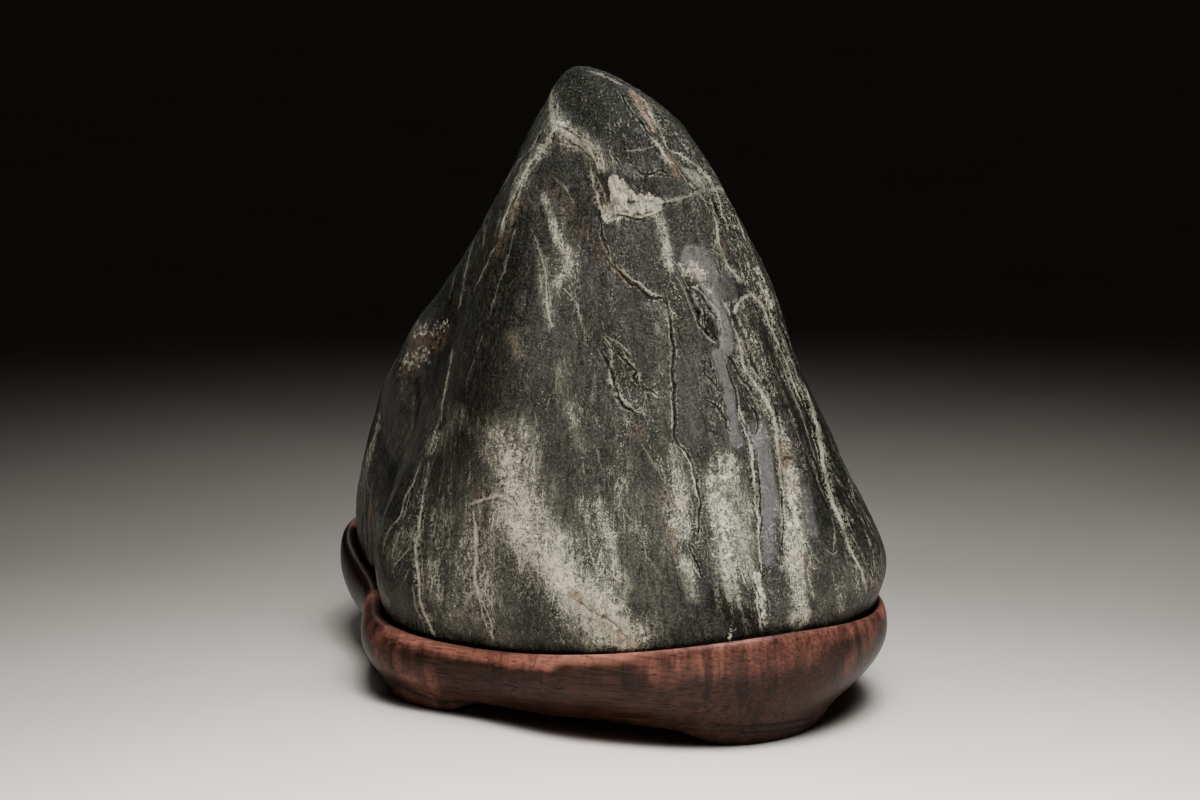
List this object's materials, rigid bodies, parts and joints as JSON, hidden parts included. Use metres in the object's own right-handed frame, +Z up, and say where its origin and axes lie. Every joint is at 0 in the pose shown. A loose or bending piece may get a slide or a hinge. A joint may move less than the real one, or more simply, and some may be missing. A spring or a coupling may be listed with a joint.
{
  "type": "scholars rock on a carved wooden stand",
  "caption": "Dark mountain-shaped viewing stone, with a main peak and a lower shoulder, resting in a low carved wooden stand hollowed to its foot.",
  "frame": {"origin": "on the surface the stand rests on, under the middle of the box round the whole part", "axes": "+Z up; +X along the stand's length, towards the end under the main peak; +Y across it"},
  "size_m": [0.1582, 0.1196, 0.1495],
  "materials": {
    "stone": "dark grey-green, waxy satin, with pale veins and flecks",
    "stand": "reddish-brown hardwood, satin oiled"
  },
  "bodies": {
    "root": {"stone": "stone", "stand": "stand"}
  },
  "joints": []
}
